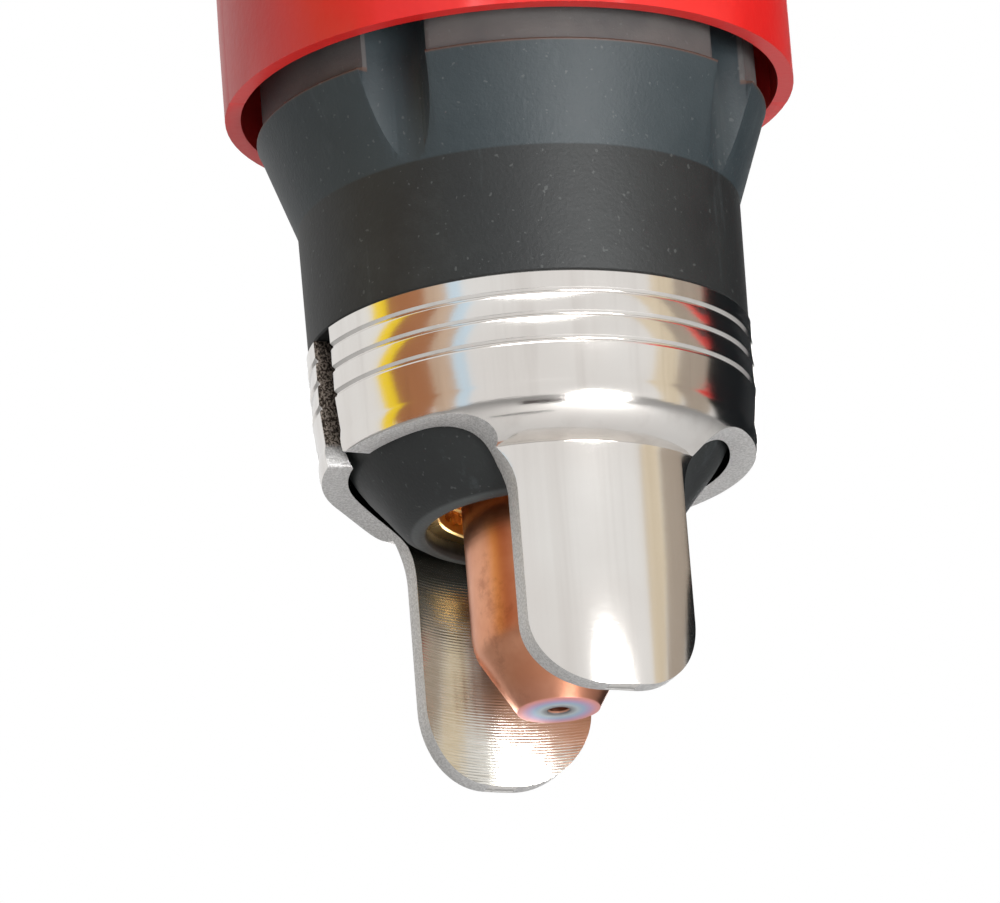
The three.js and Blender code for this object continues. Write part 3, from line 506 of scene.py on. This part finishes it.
def makeInsert():
    outline = [
        (5.2, 10.62), (5.28, 10.53), (5.85, 10.52), (6.45, 10.52), (6.5, 13.1), (8.5, 13.5),
        (8.5, 27.0), (7.1, 27.0), (7.1, 15.0), (6.1, 15.0), (6.1, 12.5), (5.2, 12.5), (5.2, 11.95),
        (5.32, 11.85), (5.32, 11.7), (5.2, 11.6),
    ]
    piece = turnPiece("cupInsert", outline, 128)
    shade(piece, 30)
    finishPiece(piece, "cup", ["cup_insert"], [brass])


guideSizes = dict(bore=10.03, wall=1.13, top=19.36, prong=9.0, prongBore=7.9, end=-1.46, halfWidth=4.45,
                  corner=3.7, windowTop=12.7, fillet=3.9, slot=2.2, turn=9.4)
grooveHeights = (15.8, 17.1, 18.3)


def guideOutline():
    s = guideSizes
    outer = s["bore"] + s["wall"]
    inner = [(s["prongBore"], s["end"]), (s["prongBore"], 9.9), (8.0, 10.5), (8.3, 11.0), (9.2, 12.1),
             (9.75, 12.9), (9.97, 13.5), (s["bore"], 14.2), (s["bore"], s["top"] - 0.1), (s["bore"] + 0.1, s["top"])]
    rim = [(outer + 0.02, s["top"]), (outer + 0.07, s["top"] - 0.06)]
    wall = []
    for height in reversed(grooveHeights):
        r = outer + 0.06 - (s["top"] - height) * 0.012
        wall += [(r, height + 0.17), (r - 0.03, height + 0.12), (r - 0.15, height + 0.02),
                 (r - 0.15, height - 0.05), (r - 0.05, height - 0.12), (r - 0.01, height - 0.2)]
    dome = arc(8.8, 13.4, 2.25, 12, -84, 22)
    prong = [(s["prong"] + 0.03, 11.1), (s["prong"], 10.9), (s["prong"], 5.0), (s["prong"], s["end"])]
    return [point for run in (prong, dome, wall, rim, inner) for point in reversed(run)]


def makeGuide():
    s = guideSizes
    piece = turnPiece("guideCollar", guideOutline(), 256)
    for material in (plated, turnedInside, cutEdge):
        piece.data.materials.append(material)
    for face in piece.data.polygons:  # the bore side was turned and left bright
        centre = face.center
        outward = face.normal.x * centre.x + face.normal.y * centre.y
        face.material_index = 1 if outward < 0 else 0
    reach = 16
    low = tip / mm
    keeper = addBox("keeper", (-reach, -reach, low + s["windowTop"]), (reach, reach, low + s["top"] + 1))
    pick(keeper, lambda f: f.normal.z < -0.9)
    for side in (-1, 1):
        bpy.ops.mesh.select_all(action="SELECT")
        bpy.ops.mesh.bisect(plane_co=(side * s["halfWidth"] * mm, 0, 0), plane_no=(1, 0, 0))
    leaveEditMode()
    pick(keeper, lambda f: f.normal.z < -0.9 and abs(f.center.x) < s["halfWidth"] * mm)
    drop = (s["windowTop"] - s["end"]) * mm
    bpy.ops.mesh.extrude_region_move(TRANSFORM_OT_translate={"value": (0, 0, -drop)})
    leaveEditMode()

    def along(edge, height):  # edges that run across the prongs at this height
        a, b = (keeper.data.vertices[i].co for i in edge.vertices)
        level = abs(a.z - b.z) < 1e-6 and abs(a.z - (low + height) * mm) < 1e-5
        return level and abs(a.x - b.x) < 1e-6 and abs(abs(a.x) - s["halfWidth"] * mm) < 1e-5

    pick(keeper, lambda e: along(e, s["end"]), "EDGE")
    bpy.ops.mesh.bevel(offset=s["corner"] * mm, segments=20)
    leaveEditMode()
    pick(keeper, lambda e: along(e, s["windowTop"]), "EDGE")
    bpy.ops.mesh.bevel(offset=s["fillet"] * mm, segments=20)
    leaveEditMode()
    tidyMesh(keeper)
    for material in (plated, turnedInside, cutEdge):
        keeper.data.materials.append(material)
    for face in keeper.data.polygons:
        face.material_index = 2
    combine(piece, keeper, "INTERSECT")

    half = s["slot"] / 2
    slot = addBox("slotCutter", (-reach, -half, low + s["windowTop"] - 3), (-2, half, low + s["top"] + 1))
    for material in (plated, turnedInside, cutEdge):
        slot.data.materials.append(material)
    for face in slot.data.polygons:
        face.material_index = 2
    combine(piece, slot)
    tidyMesh(piece)

    def slotFoot(edge):  # the corner where the slot runs out into the window
        a, b = (piece.data.vertices[i].co for i in edge.vertices)
        level = abs(a.z - b.z) < 1e-5 and abs(a.z - (low + s["windowTop"]) * mm) < 2e-5
        return level and a.x < 0 and abs(a.y - b.y) < 1e-5 and abs(abs(a.y) - half * mm) < 2e-5

    pick(piece, slotFoot, "EDGE")
    bpy.ops.mesh.bevel(offset=0.9 * mm, segments=8)
    leaveEditMode()
    bevelEdges(piece, 0.06, 2, 50)
    turnAbout(piece, s["turn"])
    shade(piece, 28)
    materials = [plated, turnedInside, cutEdge]
    indexes = [face.material_index for face in piece.data.polygons]
    finishPiece(piece, "guide", ["standoff_guide"], materials)
    for face, index in zip(piece.data.polygons, indexes):
        face.material_index = index


gripSizes = dict(rim=32.35, neckTop=38.0, knee=24.0, kneeTurn=72.0, length=152.0, wall=2.0, mouth=13.64,
                 mouthDepth=4.9)
gripKeys = [(-36, 14.45, 14.45), (-24, 14.45, 14.45), (0, 14.2, 15.1), (45, 13.9, 15.6), (78, 13.1, 14.3),
            (112, 14.5, 16.0), (142, 12.7, 13.4), (152, 12.4, 12.6)]  # place, half width, half height
screwPlaces = [(-8.3, -10.6), (60, 9.8), (80, -8.6), (113, 9.8), (137, -8.6)]
screwSizes = dict(head=2.7, headHeight=2.0, pocket=3.2, pocketFloor=7.0, boss=4.2)


def spineAt(place):  # centre and heading, place in mm behind the knee's end
    s = gripSizes
    rise = math.radians(90 - s["kneeTurn"])
    kneeAngle = math.radians(s["kneeTurn"])
    kneeLength = s["knee"] * kneeAngle
    endX = s["knee"] * (1 - math.cos(kneeAngle))
    endZ = s["neckTop"] + s["knee"] * math.sin(kneeAngle)
    if place >= 0:
        radius = s["length"] / rise
        heading = rise - place / radius
        x = endX + radius * (math.sin(rise) - math.sin(heading))
        z = endZ + radius * (math.cos(heading) - math.cos(rise))
    else:
        bend = max(kneeLength + place, 0) / s["knee"]
        x = s["knee"] * (1 - math.cos(bend))
        z = s["neckTop"] + s["knee"] * math.sin(bend) + min(kneeLength + place, 0)
        heading = math.pi / 2 - bend
    return Vector((x * mm, 0, tip + z * mm)), heading


def gripPoint(place, above, side=0):
    centre, heading = spineAt(place)
    return centre + Vector((-math.sin(heading) * above, side, math.cos(heading) * above)) * mm


def sectionAt(place):
    for low, high in zip(gripKeys, gripKeys[1:]):
        if place <= high[0]:
            t = min(max((place - low[0]) / (high[0] - low[0]), 0), 1)
            t = t * t * (3 - 2 * t)
            return [a + (b - a) * t for a, b in zip(low[1:], high[1:])]
    return list(gripKeys[-1][1:])


def loftGrip(name, inset, startPlace, endPlace, stations, sides=96):  # a closed solid along the spine
    clearSelection()
    centre, heading = spineAt(startPlace)
    width, height = sectionAt(startPlace)
    bpy.ops.mesh.primitive_circle_add(vertices=sides, radius=mm, fill_type="NGON", location=centre)
    piece = bpy.context.object
    piece.name = name
    settle(piece)
    bpy.ops.object.mode_set(mode="EDIT")
    bpy.ops.mesh.select_all(action="SELECT")
    bpy.ops.transform.resize(value=(height - inset, width - inset, 1), center_override=centre)
    tilt = 0.0
    for i in range(1, stations + 1):
        place = startPlace + (endPlace - startPlace) * i / stations
        nextCentre, nextHeading = spineAt(place)
        nextWidth, nextHeight = sectionAt(place)
        bpy.ops.mesh.extrude_region_move(TRANSFORM_OT_translate={"value": (0, 0, 0)})
        if tilt:
            bpy.ops.transform.rotate(value=tilt, orient_axis="Y", orient_type="GLOBAL", center_override=centre)
        share = ((nextHeight - inset) / (height - inset), (nextWidth - inset) / (width - inset), 1)
        bpy.ops.transform.resize(value=share, center_override=centre)
        bpy.ops.transform.translate(value=nextCentre - centre)
        tilt = math.pi / 2 - nextHeading
        if tilt:
            bpy.ops.transform.rotate(value=-tilt, orient_axis="Y", orient_type="GLOBAL", center_override=nextCentre)
        centre, width, height = nextCentre, nextWidth, nextHeight
    leaveEditMode()
    tidyMesh(piece)
    return piece


def copyPiece(piece, name):
    twin = piece.copy()
    twin.data = piece.data.copy()
    twin.name = name
    bpy.context.scene.collection.objects.link(twin)
    return twin


def cutPocket(shell, spot):  # another count of sides is tried if the cut leaves its tool behind
    floor = spot + Vector((0, -screwSizes["pocketFloor"], 0)) * mm
    before = shell.data.copy()
    for sides in (48, 46, 50, 44, 54, 40):
        combine(shell, addRod("pocket", screwSizes["pocket"], floor, spot + Vector((0, -22, 0)) * mm, sides))
        if min(v.co.y for v in shell.data.vertices) > -14.7 * mm:
            return
        shell.data = before.copy()


def makeShells():
    s = gripSizes
    start = s["rim"] - s["neckTop"] - s["knee"] * math.radians(s["kneeTurn"])
    outer = loftGrip("outerForm", 0, start, s["length"], 84)
    hollow = loftGrip("innerForm", s["wall"], start - 2, s["length"] + 2, 84)
    trim = loftGrip("trimForm", s["wall"] / 2, start, s["length"], 84)  # bosses end inside the wall
    whole = copyPiece(outer, "wholeShell")
    combine(whole, hollow)
    mouthLow = (0, 0, tip + (s["rim"] - 1) * mm)
    mouthHigh = (0, 0, tip + (s["rim"] + s["mouthDepth"]) * mm)
    mouth = addRod("mouth", s["mouth"], mouthLow, mouthHigh, 160)
    combine(whole, mouth)

    places = [gripPoint(*place) for place in screwPlaces]
    for name, side in (("leftShell", -1), ("rightShell", 1)):
        shell = copyPiece(whole, name)
        if side < 0:
            for spot in places:
                boss = addRod("boss", screwSizes["boss"], spot, spot + Vector((0, -20, 0)) * mm)
                combine(boss, copyPiece(trim, "bossForm"), "INTERSECT")
                combine(shell, boss, "UNION")
        slot = triggerSlot()
        combine(shell, slot)
        activate(shell)
        bpy.ops.object.mode_set(mode="EDIT")
        bpy.ops.mesh.select_all(action="SELECT")
        bpy.ops.mesh.bisect(plane_co=(0, 0, 0), plane_no=(0, 1, 0), use_fill=True,
                            clear_inner=side > 0, clear_outer=side < 0)
        leaveEditMode()
        tidyMesh(shell)
        if side < 0:
            for spot in places:
                cutPocket(shell, spot)
        bevelEdges(shell, 0.12, 3, 42)
        shade(shell, 30)
        node = "left_handle_shell" if side < 0 else "right_handle_shell"
        finishPiece(shell, "handle", [node], [red])
    for extra in (outer, trim, whole):
        bpy.data.objects.remove(extra, do_unlink=True)


def makeScrews():
    s = screwSizes
    for i, place in enumerate(screwPlaces):
        spot = gripPoint(*place)
        seat = spot + Vector((0, -s["pocketFloor"] - 0.05, 0)) * mm
        crown = seat + Vector((0, -s["headHeight"], 0)) * mm
        head = addRod(f"shellScrew{i + 1}", s["head"], seat, crown, 48)
        socket = addRod("socket", 1.35, crown + Vector((0, 1.2, 0)) * mm, crown + Vector((0, -1, 0)) * mm, 6)
        combine(head, socket)
        bevelEdges(head, 0.3, 3, 50)
        shade(head, 30)
        finishPiece(head, "handle", [f"shell_screw_{i + 1}"], [steel])


triggerSizes = dict(place=45, length=34.0, width=9.2, top=-10.5, bottom=-19.4, rearClear=0.9, gap=0.3)


def onTrigger(piece):  # from the trigger's own frame, along X with Z up, to its place on the grip
    centre, heading = spineAt(triggerSizes["place"])
    piece.data.transform(Matrix.Translation(centre) @ Matrix.Rotation(-heading, 4, "Y"))


def triggerSlot():
    s = triggerSizes
    half = s["length"] / 2
    side = s["width"] / 2 + s["gap"]
    slot = addBox("triggerSlot", (-half - s["gap"], -side, -25), (half + s["rearClear"], side, -8))
    pick(slot, lambda e: abs(slot.data.vertices[e.vertices[0]].co.z - slot.data.vertices[e.vertices[1]].co.z)
         > 5 * mm, "EDGE")
    bpy.ops.mesh.bevel(offset=1.2 * mm, segments=6)
    leaveEditMode()
    onTrigger(slot)
    return slot


def makeTrigger():
    s = triggerSizes
    half = s["length"] / 2
    steps = 34
    clearSelection()
    bpy.ops.mesh.primitive_plane_add(size=1, location=(-half * mm, 0, 0), rotation=(0, math.pi / 2, 0))
    piece = bpy.context.object
    piece.name = "triggerButton"
    settle(piece)
    bpy.ops.object.mode_set(mode="EDIT")
    bpy.ops.mesh.select_all(action="SELECT")
    first = triggerDepth(0)
    bpy.ops.transform.resize(value=(1, s["width"] * mm, first * mm), center_override=(-half * mm, 0, 0))
    bpy.ops.transform.translate(value=(0, 0, (s["top"] - first / 2) * mm))
    depth = first
    for i in range(1, steps + 1):
        step = s["length"] / steps
        bpy.ops.mesh.extrude_region_move(TRANSFORM_OT_translate={"value": (step * mm, 0, 0)})
        nextDepth = triggerDepth(i / steps)
        pivot = ((-half + step * i) * mm, 0, s["top"] * mm)
        bpy.ops.transform.resize(value=(1, 1, nextDepth / depth), center_override=pivot)
        depth = nextDepth
    leaveEditMode()
    tidyMesh(piece)
    bevelEdges(piece, 1.3, 5, 60)
    pivot = addRod("arm", 2.6, Vector((-24, -4, -10)) * mm, Vector((-24, 4, -10)) * mm, 40)
    arm = addBox("armBar", (-24, -4, -11), (-half + 2, 4, -9.6))
    flange = addBox("flange", (-18.6, -6.2, -11), (18.6, 6.2, -9.6))
    for part in (pivot, arm, flange):
        combine(piece, part, "UNION")
    shade(piece, 30)
    onTrigger(piece)
    finishPiece(piece, "trigger", ["trigger"], [black])


def triggerDepth(share):  # how far the trigger hangs below its top, from front to rear
    s = triggerSizes
    full = s["top"] - s["bottom"]
    hollow = 1.5 * math.sin(math.pi * min(max((share - 0.06) / 0.8, 0), 1)) ** 1.3
    ridge = 0.22 * max(math.cos(2 * math.pi * share * 8), 0) if 0.2 < share < 0.75 else 0
    return full - 0.7 + 0.7 * share - hollow + ridge


inletSizes = dict(bore=7.0, inner=9.8, flange=12.2, flangeLow=0.3, flangeHigh=3.3, neck=9.6, neckHigh=12.3,
                  pitch=1.5, threadDepth=0.55)


def makeInlet():
    s = inletSizes
    threads = []
    height = s["flangeHigh"] + 1.2
    while height + s["pitch"] < s["neckHigh"] - 0.5:
        threads += [(s["neck"] - s["threadDepth"], height), (s["neck"] - s["threadDepth"], height + 0.3),
                    (s["neck"], height + 0.75), (s["neck"], height + 1.05)]
        height += s["pitch"]
    outline = [
        (s["bore"], -9), (s["inner"], -9), (s["inner"], -6), (8.6, -6), (8.6, -3), (s["inner"], -3),
        (s["inner"], s["flangeLow"]), (s["flange"] - 0.3, s["flangeLow"]), (s["flange"], s["flangeLow"] + 0.3),
        (s["flange"], s["flangeHigh"] - 0.5), (s["flange"] - 0.5, s["flangeHigh"]),
        (s["neck"] - s["threadDepth"], s["flangeHigh"]), *threads,
        (s["neck"] - s["threadDepth"], s["neckHigh"] - 0.35), (s["neck"] - 0.85, s["neckHigh"]),
        (s["bore"] + 0.3, s["neckHigh"]), (s["bore"], s["neckHigh"] - 0.3),
    ]
    piece = turnPiece("inletCollar", outline, 128, 0)
    centre, heading = spineAt(gripSizes["length"])
    piece.data.transform(Matrix.Translation(centre) @ Matrix.Rotation(math.pi / 2, 4, "Y"))
    shade(piece, 30)
    finishPiece(piece, "handle", ["inlet_collar"], [black])


def makeGrommet():
    outline = [(4.6, -9), (6.7, -9), (6.7, 7.3), (6.4, 7.8), (4.95, 7.8), (4.6, 7.4)]
    piece = turnPiece("inletGrommet", outline, 96, 0)
    centre, heading = spineAt(gripSizes["length"])
    piece.data.transform(Matrix.Translation(centre) @ Matrix.Rotation(math.pi / 2, 4, "Y"))
    shade(piece, 30)
    finishPiece(piece, "handle", ["inlet_grommet"], [rubber])


makeNozzle()
makeInsert()
makeCup()
print("cup and nozzle made")
makeGuide()
print("guide made")
makeShells()
makeScrews()
print("handle made")
makeTrigger()
makeInlet()
makeGrommet()
print("trigger and inlet made")

nodeMaterials = {
    "swirl_ring": brown, "electrode": copper, "emitter": steel, "anode_body": brass, "inner_insulator": white,
    "cathode_body": brass, "torch_body": black, "cup_o_ring": rubber, "plunger": brass, "plunger_o_ring": rubber,
    "plunger_spring": steel, "gas_tube": brass, "lead_union": brass, "pilot_terminal": steel, "pilot_screw": steel,
    "pilot_wire": wireRed, "pilot_plug": brass, "trigger_pin": steel, "trigger_spring": steel,
    "switch_body": black, "switch_button": wireRed, "switch_terminal_1": brass, "switch_terminal_2": brass,
    "switch_wire_1": wireBlack, "switch_wire_2": white, "switch_plug": white,
}
for name, material in nodeMaterials.items():
    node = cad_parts[name]
    node.data.materials.clear()
    node.data.materials.append(material)


viewSizes = dict(distance=600.44, drop=186.47, pitch=18.448, yaw=-0.18, roll=-4.58, turn=-13.0, lens=453.9)


def makeCamera():
    s = viewSizes
    pitch, yaw, roll = (math.radians(s[k]) for k in ("pitch", "yaw", "roll"))
    forward = Vector((math.sin(yaw) * math.cos(pitch), math.cos(yaw) * math.cos(pitch), math.sin(pitch)))
    right = Vector((math.cos(yaw), -math.sin(yaw), 0))
    up = right.cross(forward)
    across = math.cos(roll) * right + math.sin(roll) * up
    upright = math.cos(roll) * up - math.sin(roll) * right
    basis = Matrix((across, upright, -forward)).transposed().to_4x4()
    place = Matrix.Translation(Vector((0, -s["distance"], -s["drop"])) * mm)
    camera = bpy.data.objects.new("camera", bpy.data.cameras.new("camera"))
    bpy.context.scene.collection.objects.link(camera)
    lift = Matrix.Translation((0, 0, tip))
    camera.matrix_world = lift @ Matrix.Rotation(math.radians(s["turn"]), 4, "Z") @ place @ basis
    camera.data.lens = s["lens"]
    camera.data.sensor_width = 36
    camera.data.clip_start = 0.01
    bpy.context.scene.camera = camera


def around(azimuth, elevation, distance):  # a place seen from the tip, azimuth 0 towards the camera
    a = math.radians(azimuth + viewSizes["turn"])
    e = math.radians(elevation)
    direction = Vector((math.sin(a) * math.cos(e), -math.cos(a) * math.cos(e), math.sin(e)))
    return direction * distance + Vector((0, 0, tip + 15 * mm))


def addLamp(name, azimuth, elevation, distance, size, power, colour=(1, 1, 1)):
    lamp = bpy.data.objects.new(name, bpy.data.lights.new(name, "AREA"))
    lamp.data.shape = "DISK"
    lamp.data.size = size
    lamp.data.energy = power
    lamp.data.color = colour
    lamp.location = around(azimuth, elevation, distance)
    toward = Vector((0, 0, tip + 15 * mm)) - lamp.location
    lamp.rotation_euler = toward.to_track_quat("-Z", "Y").to_euler()
    bpy.context.scene.collection.objects.link(lamp)
    return lamp


def addCard(name, azimuth, elevation, width, height, colour, strength, distance=0.5):
    # a reflector that only shiny surfaces see
    clearSelection()
    bpy.ops.mesh.primitive_plane_add(size=1)
    card = bpy.context.object
    card.name = name
    spans = [2 * distance * math.tan(math.radians(angle / 2)) for angle in (width, height)]
    card.scale = (*spans, 1)
    card.location = around(azimuth, elevation, distance)
    toward = Vector((0, 0, tip + 15 * mm)) - card.location
    card.rotation_euler = toward.to_track_quat("Z", "Y").to_euler()
    material = bpy.data.materials.new(name)
    material.use_nodes = True
    tree = material.node_tree
    tree.nodes.clear()
    glow = tree.nodes.new("ShaderNodeEmission")
    glow.inputs["Color"].default_value = (*colour, 1)
    glow.inputs["Strength"].default_value = strength
    output = tree.nodes.new("ShaderNodeOutputMaterial")
    tree.links.new(glow.outputs[0], output.inputs[0])
    card.data.materials.append(material)
    card.visible_camera = False
    card.visible_diffuse = False
    card.visible_shadow = False


def makeWorld():
    world = bpy.data.worlds.new("studio")
    bpy.context.scene.world = world
    world.use_nodes = True
    tree = world.node_tree
    tree.nodes.clear()
    path = tree.nodes.new("ShaderNodeLightPath")
    seen = tree.nodes.new("ShaderNodeMath")
    seen.operation = "MAXIMUM"
    tree.links.new(path.outputs["Is Camera Ray"], seen.inputs[0])
    tree.links.new(path.outputs["Is Transmission Ray"], seen.inputs[1])
    shiny = tree.nodes.new("ShaderNodeMath")
    shiny.operation = "MULTIPLY_ADD"
    tree.links.new(path.outputs["Is Glossy Ray"], shiny.inputs[0])
    shiny.inputs[1].default_value = 0.55
    shiny.inputs[2].default_value = 0.28
    strength = tree.nodes.new("ShaderNodeMath")
    strength.operation = "MAXIMUM"
    tree.links.new(seen.outputs[0], strength.inputs[0])
    tree.links.new(shiny.outputs[0], strength.inputs[1])
    background = tree.nodes.new("ShaderNodeBackground")
    background.inputs["Color"].default_value = (1, 1, 1, 1)
    tree.links.new(strength.outputs[0], background.inputs["Strength"])
    output = tree.nodes.new("ShaderNodeOutputWorld")
    tree.links.new(background.outputs[0], output.inputs[0])


def makeFloor():
    clearSelection()
    bpy.ops.mesh.primitive_plane_add(size=6, location=(0, 0, -0.42))
    floor = bpy.context.object
    floor.name = "floor"
    material = bpy.data.materials.new("paleFloor")
    material.use_nodes = True
    material.node_tree.nodes["Principled BSDF"].inputs["Base Color"].default_value = (0.86, 0.86, 0.86, 1)
    material.node_tree.nodes["Principled BSDF"].inputs["Roughness"].default_value = 0.8
    floor.data.materials.append(material)


makeCamera()
makeWorld()
makeFloor()
addLamp("keyLamp", 34, -12, 0.9, 0.45, 8.0)
addLamp("lowLamp", -25, -58, 0.9, 0.5, 7.0)
addLamp("topLamp", 10, 60, 1.0, 0.7, 5.0)
addLamp("rearLamp", 170, 20, 1.2, 0.6, 4.0)
addCard("brownCard", -64, 22, 24, 60, (0.40, 0.17, 0.08), 1.0)
addCard("paleBrownCard", -46, 22, 12, 60, (0.62, 0.46, 0.34), 1.0)
addCard("yellowCard", -80, 22, 9, 60, (1.0, 0.72, 0.02), 1.0)
addCard("blueCard", -36, 22, 7, 60, (0.62, 0.80, 0.95), 1.0)
addCard("tanCard", 74, 22, 14, 60, (0.78, 0.68, 0.52), 1.0)
addCard("greyCard", 92, 22, 20, 60, (0.42, 0.36, 0.30), 1.0)
addCard("darkCard", 136, 22, 66, 60, (0.010, 0.012, 0.014), 1.0)
addCard("cameraCard", 4, -22, 20, 9, (0.045, 0.035, 0.035), 1.0)
addCard("groundCard", -8, -52, 26, 12, (0.020, 0.020, 0.018), 1.0)

scene = bpy.context.scene
scene.view_settings.view_transform = "Standard"
print("stage made")
